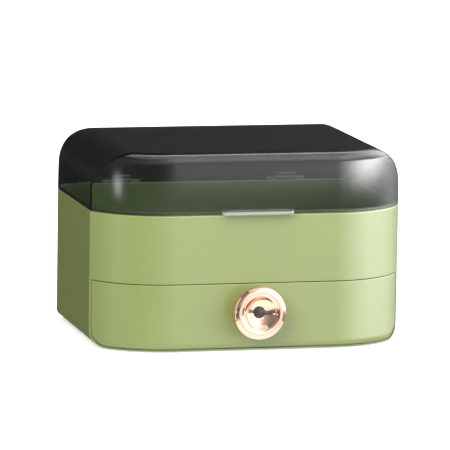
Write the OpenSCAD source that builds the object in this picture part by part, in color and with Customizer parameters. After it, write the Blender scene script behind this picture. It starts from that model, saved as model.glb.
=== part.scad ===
// Countertop makeup organizer: a casing with an open tray on top, a clear hinged lid
// over the tray, and one full-width drawer below it. +X is right, +Y is back, +Z is up.
// The casing is a rounded front view carried straight back, trimmed by a plan outline
// whose front corners are wide arcs that meet the flat sides at a crisp upright crease.

/* [Body] */
// Width of the casing
body_w = 260; // [230:1:320]
// Depth of the casing, front face to back face, without knob and hinges
body_d = 180; // [160:1:230]
// Height of the casing from its underside to its top edge
casing_h = 110.7; // [100:0.1:140]
// Wall of the casing
wall = 2.6; // [2:0.1:3.2]
// Radius of the two long bottom edges, seen from the front
bottom_r = 12; // [8:0.5:18]
// Radius of the wide front corner arcs, seen from above
corner_r = 72; // [55:1:80]
// Turn of a front corner arc before it meets the flat side
crease_angle = 62; // [50:1:75]
// Radius of the back corners, seen from above
back_r = 18; // [12:1:24]

/* [Lid] */
// Height of the clear lid
lid_h = 50; // [38:1:70]
// Wall of the lid
lid_t = 2.4; // [1.8:0.1:2.6]
// Radius of the two long top edges, seen from the front
lid_r = 33.5; // [20:0.5:36]
// Gap between the closed lid and the casing's top edge
seat_gap = 0.3; // [0.2:0.05:0.6]
// Length of the finger tab on the lid
tab_w = 62; // [40:1:80]
// Thickness of the finger tab
tab_t = 4; // [3:0.5:6]
// Reach of the finger tab in front of the lid
tab_reach = 7; // [5:0.5:10]

/* [Tray] */
// Wall of the lift-out tray
tray_t = 1.8; // [1.4:0.1:2.2]
// Floor of the tray
tray_floor_t = 2.2; // [1.8:0.1:3]
// Gap all round between tray and casing
tray_gap = 0.3; // [0.2:0.05:0.5]
// Height of the dust lip that stands up inside the lid
lip_h = 2.4; // [1.5:0.1:5]
// Width of the ledge that carries the tray
ledge_w = 12; // [10:0.5:16]
// Distance of the tray screws from the casing's outer side
tray_screw_in = 8; // [7.5:0.1:8.2]

/* [Drawer] */
// Height of the seam over the drawer front, from the casing's underside
seam_h = 55; // [50:0.5:60]
// Gap over the drawer front
seam_gap = 0.6; // [0.4:0.1:1]
// Width of the casing's edge that frames the drawer front
frame_edge = 2; // [1.6:0.1:2.3]
// Gap between that edge and the drawer front
front_gap = 0.4; // [0.3:0.05:0.6]
// Thickness of the drawer front
front_t = 3.2; // [2.6:0.1:4]
// Wall and floor of the drawer box
box_t = 2; // [1.6:0.1:2.6]
// Space between the drawer box and the casing's outer side
box_in = 9; // [8.8:0.1:10]
// Space over the drawer box, below the heads of the tray screws
box_top_gap = 3.6; // [1:0.1:8]
// Radius of the drawer box's bottom edges
box_r = 8; // [6:0.5:10]
// Radius of the drawer box's back corners
box_back_r = 6; // [4:0.5:8]
// Clearance under the drawer box
box_lift = 1.8; // [1.6:0.1:2.4]
// Gap behind the ends of the drawer front
rebate_gap = 0.6; // [0.4:0.1:1]
// Travel of the drawer
drawer_travel = 100; // [70:1:110]

/* [Runners] */
// Reach of the drawer's side rail
rail_w = 3.5; // [3:0.1:4]
// Height of the drawer's side rail
rail_h = 4; // [3:0.1:5]
// Height of the rail's underside over the casing's underside
rail_z = 34.3; // [26:0.1:36]
// Running gap between rail and runner
rail_gap = 0.3; // [0.2:0.05:0.5]
// Thickness of the runner's jaws
jaw_t = 2; // [1.6:0.1:2.6]
// Thickness of the runner's top flange
runner_flange_t = 2.4; // [2:0.1:3]
// Width of the runner's top flange
runner_flange_w = 10.5; // [9.5:0.1:12]
// Gap between the runner and the casing's side
runner_gap = 0.3; // [0.2:0.05:0.5]
// Distance of the runner behind the drawer front's rebate
runner_front = 1; // [0.5:0.5:4]
// Distance of the runner's back end from the rounded back corner
runner_back = 2; // [1:0.5:10]
// Distance of the rail's front end behind the runner's
rail_front = 2; // [1:0.5:6]
// Distance of the rail's back end from the drawer box's rounded corner
rail_back = 1; // [0.5:0.5:6]

/* [Hinge] */
// Distance of each hinge from the casing's outer side
hinge_in = 58; // [40:1:85]
// Width of the lid's knuckle
ear_w = 16; // [10:0.5:24]
// Width of each casing knuckle
knuckle_w = 8; // [6:0.5:12]
// Side gap between knuckles
knuckle_gap = 0.3; // [0.2:0.05:0.5]
// Radius of the knuckles
knuckle_r = 4.2; // [3.4:0.1:4.4]
// Distance of the hinge axis behind the back face
hinge_off = 4.8; // [4.7:0.1:6]
// Radius of the hinge pin
pin_r = 1.5; // [1:0.1:2]
// Radial clearance of the hinge pin
pin_clear = 0.05; // [0.02:0.01:0.1]
// Opening angle of the lid
lid_open = 105; // [95:1:110]
// Drop of the gusset below the casing knuckle
gusset_drop = 6; // [4:0.5:10]
// Rise of the web above the lid's knuckle
web_rise = 5; // [3:0.5:8]

/* [Knob] */
// Diameter of the knob
knob_d = 43.4; // [36:0.2:48]
// Reach of the knob in front of the drawer
knob_reach = 18; // [16:0.5:22]
// Height of the knob's centre over the casing's underside
knob_h = 32.5; // [26:0.5:33]
// Radius of the knob's neck
knob_neck_r = 8; // [6:0.5:9]
// Roundness of the knob's rim
knob_rim_r = 5; // [4:0.1:5.5]
// Radius of the curve under the rim
knob_waist_r = 9.5; // [8.5:0.1:10]
// Height of the rim's middle over the end of that curve
knob_flare = 1; // [0.5:0.1:1.5]
// Radius at the edge of the knob's hollow
dish_edge_r = 12.5; // [11.5:0.1:13.5]
// Radius of the hollow's curve
dish_r = 18; // [16:0.5:24]
// Diameter of the dark plug in the hollow
plug_d = 10; // [8:0.2:12]
// Depth of the plug's seat
plug_seat = 2.4; // [1.5:0.1:3]
// Height of the plug's dome over the hollow
plug_dome = 1.6; // [1:0.1:2.5]

/* [Feet] */
// Reach of the feet below the casing
foot_reach = 1; // [0.6:0.1:3]
// Diameter of a foot
foot_d = 12; // [8:0.5:18]
// Depth of a foot's seat in the casing
foot_seat = 0.8; // [0.4:0.1:1.2]
// Radial clearance of a foot in its seat
foot_clear = 0.1; // [0.05:0.05:0.2]
// Distance of the feet from the casing's outer side
foot_in = 32; // [24:1:60]
// Distance of the front feet from the front face
foot_front = 28; // [20:1:50]
// Distance of the back feet from the back face
foot_back = 24; // [16:1:50]

/* [Fasteners] */
// Shank radius of the tray and front screws
screw_r = 1.2; // [1:0.05:1.5]
// Clearance of a screw in its boss
screw_clear = 0.05; // [0.02:0.01:0.1]
// Radial clearance of a screw where it only passes through
screw_free = 0.5; // [0.3:0.1:0.6]
// Space beyond a screw's tip
tip_gap = 0.5; // [0.3:0.1:0.8]
// Closed end of a screw's hole
pilot_cap = 1; // [0.8:0.1:1.2]
// Distance of the front tray screws behind the runner's front end
tray_screw_front = 14; // [8:1:30]
// Distance of the back tray screws before the runner's back end
tray_screw_back = 12; // [8:1:30]
// Head radius of the tray screws
tray_head_r = 2.8; // [2.4:0.1:3.2]
// Head height of the tray screws
tray_head_h = 2; // [1.4:0.1:2.4]
// Radius of the tray's screw bosses
boss_r = 3.6; // [3.4:0.1:4.2]
// Height of the tray's screw bosses over the tray floor
boss_h = 7; // [5:0.5:10]
// Radius of the drawer front's bosses
front_boss_r = 3.5; // [3:0.1:4]
// Radial clearance of those bosses in the drawer box
boss_clear = 0.2; // [0.1:0.05:0.3]
// Distance of the front screws from the start of the corner arc
front_screw_in = 8.4; // [5:0.1:25]
// Height of the lower front screws over the casing's underside
front_screw_low = 16; // [14:0.5:20]
// Height of the upper front screws over the casing's underside
front_screw_high = 38; // [30:0.5:40]
// Head radius of the front screws
front_head_r = 4.6; // [4.3:0.1:5.2]
// Head height of the front screws
front_head_h = 1.6; // [1.2:0.1:2]
// Shank radius of the knob screw
knob_screw_r = 1.95; // [1.6:0.05:2.2]
// Radial clearance of the knob screw in the drawer
knob_screw_free = 0.3; // [0.2:0.05:0.5]
// Grip of the knob screw in the knob
knob_screw_grip = 6; // [5:0.1:6.5]
// Head radius of the knob screw
knob_head_r = 3.8; // [3.4:0.1:4.2]
// Radius of the washer under the knob screw
washer_r = 5; // [4.5:0.1:6]
// Thickness of the washer
washer_t = 1; // [0.6:0.1:1.5]
// Radial clearance of the knob screw in the washer
washer_clear = 0.15; // [0.1:0.05:0.3]

/* [Stops] */
// Distance of the drawer's rubber bumpers from the casing's outer side
bumper_in = 60; // [35:1:90]
// Diameter of a bumper
bumper_d = 8; // [6:0.5:12]
// Thickness of a bumper
bumper_t = 2.2; // [1.5:0.1:3]
// Height of the bumpers over the casing's underside
bumper_h = 26; // [16:0.5:36]
// Gap left at a stop
stop_gap = 0.3; // [0.2:0.05:0.5]
// Thickness of the drawer's lug and of the casing's stop rib
stop_t = 3; // [2:0.5:4]
// Half width of the drawer's lug
lug_half = 20; // [10:1:40]
// Running clearance of lug and rib
lug_clear = 0.4; // [0.3:0.05:0.6]

/* [Hidden] */

$fn = 128;
green = "#A9B98A";
clear_smoke = [0.30, 0.34, 0.33, 0.45];
rose_gold = "#E3B596";
steel = "#B9BCC0";
rubber = "#3A3A3A";
nylon = "#E4E4DC";
// Overlap of joined shapes and overrun of cuts
bite = 0.5;
// Overreach of an arc past the face that trims it
hair = 0.01;

// Hinge stop: the heel on the lid's knuckle meets the back wall when the lid is open
heel_angle = 30;
heel_r = (hinge_off - stop_gap) / -cos(heel_angle + lid_open);
heel_y = heel_r * cos(heel_angle);
heel_z = -heel_r * sin(heel_angle);
hinge_reach = hinge_off + max(heel_y, knuckle_r);

// The frame stands on the ground under the middle of the overall box
front_y = -(knob_reach + body_d + hinge_reach) / 2 + knob_reach;
back_y = front_y + body_d;
base_z = foot_reach;
rim_z = base_z + casing_h;
lid_z = rim_z + seat_gap;
top_z = lid_z + lid_h;
half_w = body_w / 2;

// Front corner arcs
corner_x = half_w - corner_r * sin(crease_angle);
corner_y = front_y + corner_r;

// Heights inside
seam_z = base_z + seam_h;
ledge_top = seam_z + wall;
tray_in = wall + tray_gap;
floor_z = base_z + wall;
tray_head_z = seam_z - runner_flange_t - tray_head_h;
box_z = floor_z + box_lift;
box_top = tray_head_z - box_top_gap;

// Places that keep their distance from the casing's sides
hinge_x = half_w - hinge_in;
foot_x = half_w - foot_in;
bumper_x = half_w - bumper_in;

// Drawer front and the rebate that it closes into
front_in = frame_edge + front_gap;
front_half = half_w - front_in;
front_end_y = corner_y - sqrt(pow(corner_r - front_t, 2) - pow(front_half - corner_x, 2));
rebate_y = front_end_y + rebate_gap;

// Drawer box
box_half = half_w - box_in;
bumper_y = back_y - wall - bumper_t;
box_back_y = bumper_y - stop_gap;
box_face_y = front_y + front_t + box_t;
lug_y = box_back_y - stop_t;
rib_y = lug_y - drawer_travel - stop_gap - stop_t;

// Runners
runner_in = half_w - wall - runner_gap;
rail_bottom = base_z + rail_z;
groove_x = box_half + rail_w + rail_gap;
runner_y = rebate_y + runner_front;
runner_end = back_y - back_r - runner_back;
rail_y = runner_y + rail_front;
rail_end = box_back_y - box_back_r - rail_back;

// Fasteners
front_screw_x = corner_x - front_screw_in;
tray_screw_x = half_w - tray_screw_in;
tray_screw_y = [runner_y + tray_screw_front, runner_end - tray_screw_back];
pilot_r = screw_r + screw_clear;
through_r = screw_r + screw_free;
tray_pilot_top = ledge_top + tray_floor_t + boss_h - pilot_cap;
front_pilot_l = box_t + front_t - pilot_cap;
knob_z = base_z + knob_h;
knob_hole_r = knob_screw_r + screw_clear;

// Knob profile
rim_centre_r = knob_d / 2 - knob_rim_r;
rim_centre_h = knob_reach - knob_rim_r;
waist_centre_r = knob_neck_r + knob_waist_r;
waist_centre_h = rim_centre_h - knob_waist_r - knob_flare;
dish_edge_h = rim_centre_h + sqrt(pow(knob_rim_r, 2) - pow(rim_centre_r - dish_edge_r, 2));
dish_centre_h = dish_edge_h + sqrt(pow(dish_r, 2) - pow(dish_edge_r, 2));
dish_floor_h = dish_centre_h - dish_r;
plug_r = plug_d / 2;

// Carries a shape drawn in the front view (x, z) from y0 back to y1
module carried_back(y0, y1) {
  translate([0, y1, 0]) rotate([90, 0, 0]) linear_extrude(y1 - y0) children();
}

// Carries a shape drawn in the side view (y, z) sideways, centred on x
module carried_across(width) {
  rotate([90, 0, 90]) linear_extrude(width, center = true) children();
}

// Raises a plan shape from z0 to z1
module raised(z0, z1) {
  translate([0, 0, z0]) linear_extrude(z1 - z0) children();
}

// Circle whose first point is turned away from the arc that a corner uses
module corner_disc(r, start) {
  rotate(start) circle(r = r);
}

// Rectangle from y0 to y1 with rounded back corners
module back_rounded(half, y0, y1, r) {
  translate([-half, y0]) square([2 * half, y1 - r - y0]);
  translate([-(half - r), y0]) square([2 * (half - r), y1 - y0]);
  for (side = [-1, 1]) translate([side * (half - r), y1 - r]) corner_disc(r, 270);
}

// Plan outline of the body, moved inwards by a given amount
module plan(inset = 0) {
  half = half_w - inset;
  intersection() {
    translate([-half, front_y]) square([2 * half, body_d - inset]);
    union() {
      back_rounded(half, corner_y, back_y - inset, back_r - inset);
      translate([-corner_x, front_y + inset]) square([2 * corner_x, corner_r]);
      for (side = [-1, 1]) translate([side * corner_x, corner_y]) corner_disc(corner_r - inset, 90);
    }
  }
}

// Front view with rounded bottom corners. Where the plan outline trims its sides they
// reach past it, the arcs by a hair and the straights by more, so no two faces coincide.
module round_bottom(half, z0, z1, r, trimmed = false) {
  arc_x = half - r + (trimmed ? hair : 0);
  side_x = half + (trimmed ? bite : 0);
  translate([-side_x, z0 + r]) square([2 * side_x, z1 - z0 - r]);
  translate([-arc_x, z0]) square([2 * arc_x, z1 - z0]);
  for (side = [-1, 1]) translate([side * arc_x, z0 + r]) corner_disc(r, 90);
}

// Front view of the casing, moved inwards at the sides and below
module casing_face(inset, z1, trimmed = false) {
  round_bottom(half_w - inset, base_z + inset, z1, bottom_r - inset, trimmed);
}

// Front view of the lid, moved inwards at the sides and above, its sides left to the plan
module lid_face(inset, z0) {
  r = lid_r - inset;
  arc_x = half_w - lid_r + hair;
  side_x = half_w - inset + bite;
  translate([-side_x, z0]) square([2 * side_x, top_z - lid_r - z0]);
  translate([-arc_x, z0]) square([2 * arc_x, top_z - inset - z0]);
  for (side = [-1, 1]) translate([side * arc_x, top_z - lid_r]) corner_disc(r, 270);
}

// Plan outline of the drawer box, moved inwards by a given amount
module box_plan(inset = 0) {
  intersection() {
    plan(front_t + inset);
    back_rounded(box_half - inset, front_y, box_back_y - inset, box_back_r - inset);
  }
}

// Every place of a tray screw
module at_tray_screws() {
  for (side = [-1, 1], y = tray_screw_y) translate([side * tray_screw_x, y, 0]) children();
}

// Every place of a drawer front screw, with +Z of the children pointing to the front
module at_front_screws(y) {
  for (side = [-1, 1], h = [front_screw_low, front_screw_high])
    translate([side * front_screw_x, y, base_z + h]) rotate([90, 0, 0]) children();
}

// Both hinges, centred on the hinge axis
module at_hinges() {
  for (side = [-1, 1]) translate([side * hinge_x, back_y + hinge_off, rim_z]) children();
}

module foot_seat_cut(x, y) {
  translate([x, y, base_z - bite]) cylinder(r = foot_d / 2 + foot_clear, h = foot_seat + bite);
}

// One casing knuckle with its gusset
module casing_knuckle() {
  carried_across(knuckle_w) difference() {
    union() {
      circle(r = knuckle_r);
      polygon([
        [-(hinge_off + wall / 2), -seat_gap], [0, -seat_gap],
        [0, -knuckle_r], [-(hinge_off + wall / 2), -(knuckle_r + gusset_drop)]
      ]);
    }
    circle(r = pin_r + pin_clear);
  }
}

// The lid's knuckle with its web and the heel that stops the open lid
module lid_knuckle() {
  carried_across(ear_w) difference() {
    union() {
      circle(r = knuckle_r);
      polygon([
        [-(hinge_off + lid_t / 2), seat_gap], [0, seat_gap],
        [0, knuckle_r], [-(hinge_off + lid_t / 2), knuckle_r + web_rise]
      ]);
      polygon([[0, 0], [0, -knuckle_r], [heel_y, heel_z], [knuckle_r, 0]]);
    }
    circle(r = pin_r + pin_clear);
  }
}

// Outer casing: sides, back, floor and the front over the drawer, with the tray's ledge
module casing() {
  color(green) difference() {
    union() {
      difference() {
        intersection() {
          raised(base_z - bite, rim_z) plan();
          carried_back(front_y - bite, back_y + bite) casing_face(0, rim_z + bite, true);
        }
        intersection() {
          raised(base_z, rim_z + bite) plan(wall);
          carried_back(front_y, back_y) casing_face(wall, rim_z + 2 * bite, true);
        }
        carried_back(front_y - bite, rebate_y) casing_face(frame_edge, seam_z);
      }
      raised(seam_z, ledge_top) difference() {
        plan(wall - bite);
        plan(wall + ledge_w);
      }
      translate([-lug_half - stop_t, rib_y, floor_z - bite])
        cube([2 * (lug_half + stop_t), stop_t, box_lift - lug_clear + bite]);
      at_hinges() for (side = [-1, 1])
        translate([side * (ear_w / 2 + knuckle_gap + knuckle_w / 2), 0, 0]) casing_knuckle();
    }
    at_tray_screws() translate([0, 0, seam_z - bite]) cylinder(r = through_r, h = wall + 2 * bite);
    for (side = [-1, 1]) {
      foot_seat_cut(side * foot_x, front_y + foot_front);
      foot_seat_cut(side * foot_x, back_y - foot_back);
    }
  }
}

// Upper tray, whose rim stands up inside the lid as a dust lip
module upper_tray() {
  color(green) difference() {
    union() {
      difference() {
        raised(ledge_top, rim_z + lip_h) plan(tray_in);
        raised(ledge_top + tray_floor_t, rim_z + lip_h + bite) plan(tray_in + tray_t);
      }
      at_tray_screws() translate([0, 0, ledge_top]) cylinder(r = boss_r, h = tray_floor_t + boss_h);
    }
    at_tray_screws() translate([0, 0, ledge_top - bite])
      cylinder(r = pilot_r, h = tray_pilot_top - ledge_top + bite);
  }
}

// Screws that clamp the runners under the ledge and the tray on top of it
module tray_screws() {
  color(steel) at_tray_screws() translate([0, 0, tray_head_z]) {
    cylinder(r = tray_head_r, h = tray_head_h);
    cylinder(r = screw_r, h = tray_pilot_top - tip_gap - tray_head_z);
  }
}

// Right-hand runner: a grooved rail that hangs from the ledge
module runner() {
  jaw_low = rail_bottom - rail_gap - jaw_t;
  jaw_high = rail_bottom + rail_h + rail_gap;
  jaw_x = box_half + rail_gap;
  difference() {
    carried_back(runner_y, runner_end) {
      translate([runner_in - runner_flange_w, seam_z - runner_flange_t])
        square([runner_flange_w, runner_flange_t]);
      translate([groove_x, jaw_low]) square([runner_in - groove_x, seam_z - jaw_low]);
      translate([jaw_x, jaw_low]) square([runner_in - jaw_x, jaw_t]);
      translate([jaw_x, jaw_high]) square([runner_in - jaw_x, jaw_t]);
    }
    for (y = tray_screw_y) translate([tray_screw_x, y, seam_z - runner_flange_t - bite])
      cylinder(r = through_r, h = runner_flange_t + 2 * bite);
  }
}

module runner_right() {
  color(nylon) runner();
}

module runner_left() {
  color(nylon) mirror([1, 0, 0]) runner();
}

// Rubber bumper on the casing's back wall
module bumper(side) {
  color(rubber) translate([side * bumper_x, back_y - wall, base_z + bumper_h])
    rotate([90, 0, 0]) cylinder(d = bumper_d, h = bumper_t);
}

module bumper_left() {
  bumper(-1);
}

module bumper_right() {
  bumper(1);
}

// Steel pin through one hinge
module hinge_pin(side) {
  pin_l = ear_w + 2 * (knuckle_gap + knuckle_w);
  color(steel) translate([side * hinge_x - pin_l / 2, back_y + hinge_off, rim_z])
    rotate([0, 90, 0]) cylinder(r = pin_r, h = pin_l);
}

module hinge_pin_left() {
  hinge_pin(-1);
}

module hinge_pin_right() {
  hinge_pin(1);
}

module foot(x, y) {
  color(rubber) translate([x, y, 0]) cylinder(d = foot_d, h = foot_reach + foot_seat);
}

module foot_front_left() {
  foot(-foot_x, front_y + foot_front);
}

module foot_front_right() {
  foot(foot_x, front_y + foot_front);
}

module foot_back_left() {
  foot(-foot_x, back_y - foot_back);
}

module foot_back_right() {
  foot(foot_x, back_y - foot_back);
}

// Clear lid with its finger tab and hinge knuckles
module lid() {
  tab_r = tab_reach / 2;
  color(clear_smoke) {
    difference() {
      intersection() {
        raised(lid_z, top_z + bite) plan();
        carried_back(front_y - bite, back_y + bite) lid_face(0, lid_z - bite);
      }
      intersection() {
        raised(lid_z - bite, top_z) plan(lid_t);
        carried_back(front_y, back_y) lid_face(lid_t, lid_z - 2 * bite);
      }
    }
    raised(lid_z, lid_z + tab_t) {
      translate([-tab_w / 2, front_y - tab_reach / 2]) square([tab_w, tab_reach / 2 + lid_t / 2]);
      translate([-tab_w / 2 + tab_r, front_y - tab_reach]) square([tab_w - 2 * tab_r, tab_reach]);
      for (side = [-1, 1])
        translate([side * (tab_w / 2 - tab_r), front_y - tab_reach + tab_r]) circle(r = tab_r);
    }
    at_hinges() lid_knuckle();
  }
}

// Drawer box, with a rail on each side and a stop lug under its back edge
module drawer_box() {
  color(green) difference() {
    union() {
      intersection() {
        raised(box_z - bite, box_top) box_plan();
        carried_back(front_y, back_y)
          round_bottom(box_half, box_z, box_top + bite, box_r, true);
      }
      for (side = [-1, 1]) translate([side * (box_half + (rail_w - bite) / 2), 0, 0])
        translate([-(rail_w + bite) / 2, rail_y, rail_bottom])
          cube([rail_w + bite, rail_end - rail_y, rail_h]);
      translate([-lug_half, lug_y, floor_z + lug_clear])
        cube([2 * lug_half, stop_t, box_lift - lug_clear + bite]);
    }
    intersection() {
      raised(box_z, box_top + bite) box_plan(box_t);
      carried_back(front_y, back_y)
        round_bottom(box_half - box_t, box_z + box_t, box_top + 2 * bite, box_r - box_t, true);
    }
    at_front_screws(box_face_y + bite) cylinder(r = front_boss_r + boss_clear, h = box_t + 2 * bite);
    translate([0, box_face_y + bite, knob_z]) rotate([90, 0, 0])
      cylinder(r = knob_screw_r + knob_screw_free, h = box_t + 2 * bite);
  }
}

// Curved front of the drawer, with bosses for its screws
module drawer_front() {
  color(green) difference() {
    union() {
      intersection() {
        raised(base_z, seam_z) difference() {
          plan();
          plan(front_t);
        }
        carried_back(front_y - bite, front_end_y + bite) casing_face(front_in, seam_z - seam_gap);
      }
      at_front_screws(box_face_y) cylinder(r = front_boss_r, h = box_t + bite);
    }
    at_front_screws(box_face_y + bite) cylinder(r = pilot_r, h = front_pilot_l + bite);
    translate([0, front_y + front_t + bite, knob_z]) rotate([90, 0, 0])
      cylinder(r = knob_screw_r + knob_screw_free, h = front_t + 2 * bite);
  }
}

// Screws that clamp the drawer box to its front
module front_screws() {
  color(steel) {
    at_front_screws(box_face_y + front_head_h) cylinder(r = front_head_r, h = front_head_h);
    at_front_screws(box_face_y) cylinder(r = screw_r, h = front_pilot_l - tip_gap);
  }
}

// Half section of the knob: radius across, distance from the drawer front up
module knob_section() {
  difference() {
    union() {
      square([rim_centre_r, rim_centre_h]);
      translate([rim_centre_r, rim_centre_h]) circle(r = knob_rim_r);
      square([dish_edge_r, dish_edge_h]);
    }
    translate([waist_centre_r, waist_centre_h]) circle(r = knob_waist_r);
    translate([waist_centre_r, -bite]) square([knob_d, waist_centre_h + bite]);
    translate([waist_centre_r, waist_centre_h - knob_waist_r]) square([knob_d, knob_waist_r]);
    intersection() {
      translate([0, dish_centre_h]) circle(r = dish_r);
      square([dish_edge_r, knob_reach + dish_r]);
    }
    translate([0, dish_floor_h - plug_seat]) square([plug_r, plug_seat + dish_r]);
    translate([0, -bite]) square([knob_hole_r, knob_screw_grip + tip_gap + bite]);
  }
}

// Puts a part of the knob on the drawer front, its axis pointing to the front
module at_knob() {
  translate([0, front_y, knob_z]) rotate([90, 0, 0]) children();
}

module knob() {
  color(rose_gold) at_knob() rotate_extrude() knob_section();
}

// Dark domed plug in the knob's hollow
module knob_plug() {
  edge_h = dish_centre_h - sqrt(pow(dish_r, 2) - pow(plug_r, 2));
  dome_r = (pow(plug_r, 2) + pow(plug_dome, 2)) / (2 * plug_dome);
  color(rubber) at_knob() rotate_extrude() {
    translate([0, dish_floor_h - plug_seat]) square([plug_r, edge_h - dish_floor_h + plug_seat]);
    intersection() {
      translate([0, edge_h + plug_dome - dome_r]) circle(r = dome_r);
      translate([0, edge_h - bite]) square([plug_r, plug_dome + 2 * bite]);
    }
  }
}

// Screw that holds the knob from inside the drawer
module knob_screw() {
  head_y = box_face_y - front_y + washer_t;
  color(steel) at_knob() {
    translate([0, 0, -head_y - knob_screw_r]) cylinder(r = knob_head_r, h = knob_screw_r);
    translate([0, 0, -head_y]) cylinder(r = knob_screw_r, h = head_y + knob_screw_grip);
  }
}

module knob_washer() {
  color(steel) at_knob() translate([0, 0, front_y - box_face_y - washer_t]) difference() {
    cylinder(r = washer_r, h = washer_t);
    translate([0, 0, -bite]) cylinder(r = knob_screw_r + washer_clear, h = washer_t + 2 * bite);
  }
}

casing();
upper_tray();
tray_screws();
runner_left();
runner_right();
bumper_left();
bumper_right();
hinge_pin_left();
hinge_pin_right();
foot_front_left();
foot_front_right();
foot_back_left();
foot_back_right();
lid();
drawer_box();
drawer_front();
front_screws();
knob();
knob_plug();
knob_screw();
knob_washer();
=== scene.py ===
"""Dressed model of a countertop makeup organizer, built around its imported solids.

The object is a rounded casing with a drawer, a tray that opens upwards, and a smoky clear
lid over the tray. All sizes are millimetres in the row frame and become metres when a
mesh is made. +X is right, +Y is back and +Z is up.
"""

import logging
import math
from dataclasses import dataclass, field, replace
from enum import Enum
from typing import Any

import bmesh
import bpy
import numpy as np
from mathutils import Matrix, Vector


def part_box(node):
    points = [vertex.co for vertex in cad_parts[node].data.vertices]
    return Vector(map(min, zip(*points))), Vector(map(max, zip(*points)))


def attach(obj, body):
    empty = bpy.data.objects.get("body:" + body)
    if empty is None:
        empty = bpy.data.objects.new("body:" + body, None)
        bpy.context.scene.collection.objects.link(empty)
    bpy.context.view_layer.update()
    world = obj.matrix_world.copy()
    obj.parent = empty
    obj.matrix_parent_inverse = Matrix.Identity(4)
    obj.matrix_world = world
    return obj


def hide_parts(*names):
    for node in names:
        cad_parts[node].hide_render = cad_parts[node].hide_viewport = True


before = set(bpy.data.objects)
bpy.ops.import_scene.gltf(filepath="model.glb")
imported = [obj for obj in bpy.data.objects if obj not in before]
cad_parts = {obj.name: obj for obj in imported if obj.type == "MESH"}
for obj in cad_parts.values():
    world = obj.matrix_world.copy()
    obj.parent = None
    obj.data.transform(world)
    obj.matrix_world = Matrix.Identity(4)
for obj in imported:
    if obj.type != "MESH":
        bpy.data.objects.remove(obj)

MM = 0.001
IMAGE_PX = 450
# Nearly all values of a noise lie between these two.
NOISE_LOW, NOISE_HIGH = 0.3, 0.7
log = logging.getLogger("organizer")


def linear(hex_colour: str) -> tuple[float, float, float, float]:
    """Turns an sRGB hex colour into the linear colour that shaders use.

    Args:
        hex_colour: Six hex digits after a hash sign.

    Returns:
        Red, green, blue and an alpha of 1.
    """
    values = np.array([int(hex_colour[i : i + 2], 16) for i in (1, 3, 5)]) / 255
    low = values / 12.92
    high = ((values + 0.055) / 1.055) ** 2.4
    return (*np.where(values <= 0.04045, low, high).tolist(), 1.0)


def add(tree: Any, kind: str, values: dict[Any, Any] | None = None, **settings: Any) -> Any:
    """Adds a node to a tree.

    Args:
        tree: The node tree.
        kind: Blender's name of the node type.
        values: What goes into its sockets, by name or number: a constant or a link.
        **settings: Attributes of the node.

    Returns:
        The new node.
    """
    made = tree.nodes.new(kind)
    for name, value in settings.items():
        setattr(made, name, value)
    for socket, value in (values or {}).items():
        if isinstance(value, bpy.types.NodeSocket):
            tree.links.new(value, made.inputs[socket])
        else:
            made.inputs[socket].default_value = value
    return made


def calc(tree: Any, kind: str, *values: Any) -> Any:
    """Adds one Math node with its operation and up to three inputs, and returns its result."""
    return add(tree, "ShaderNodeMath", dict(enumerate(values)), operation=kind).outputs[0]


def ramp(tree: Any, value: Any, start: float, end: float, low: float, high: float) -> Any:
    """Maps a value from the range start to end to the range low to high, with clamping."""
    limits = {"Value": value, "From Min": start, "From Max": end, "To Min": low, "To Max": high}
    return add(tree, "ShaderNodeMapRange", limits).outputs[0]


def noise(tree: Any, place: Any, size: float, detail: float) -> Any:
    """Adds a noise whose pattern is size millimetres wide, and returns its value."""
    values = {"Vector": place, "Scale": 1 / (size * MM), "Detail": detail}
    return add(tree, "ShaderNodeTexNoise", values).outputs["Fac"]


def blend(tree: Any, share: Any, low: str, high: str) -> Any:
    """Mixes two sRGB hex colours by a share, and returns the mixed colour."""
    values = {0: share, 6: linear(low), 7: linear(high)}
    return add(tree, "ShaderNodeMix", values, data_type="RGBA").outputs[2]


def relief(tree: Any, height: Any, depth: float) -> Any:
    """Adds a bump that is depth millimetres deep, and returns its node."""
    values = {"Height": height, "Strength": 1.0, "Distance": depth * MM}
    return add(tree, "ShaderNodeBump", values)


class Slot(Enum):
    """Material slots of the record."""

    BODY = "body_plastic"
    CLEAR = "smoky_clear_plastic"
    PLATE = "rose_gold_plate"
    RUBBER = "dark_rubber"
    STEEL = "screw_steel"
    NYLON = "runner_nylon"


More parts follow.
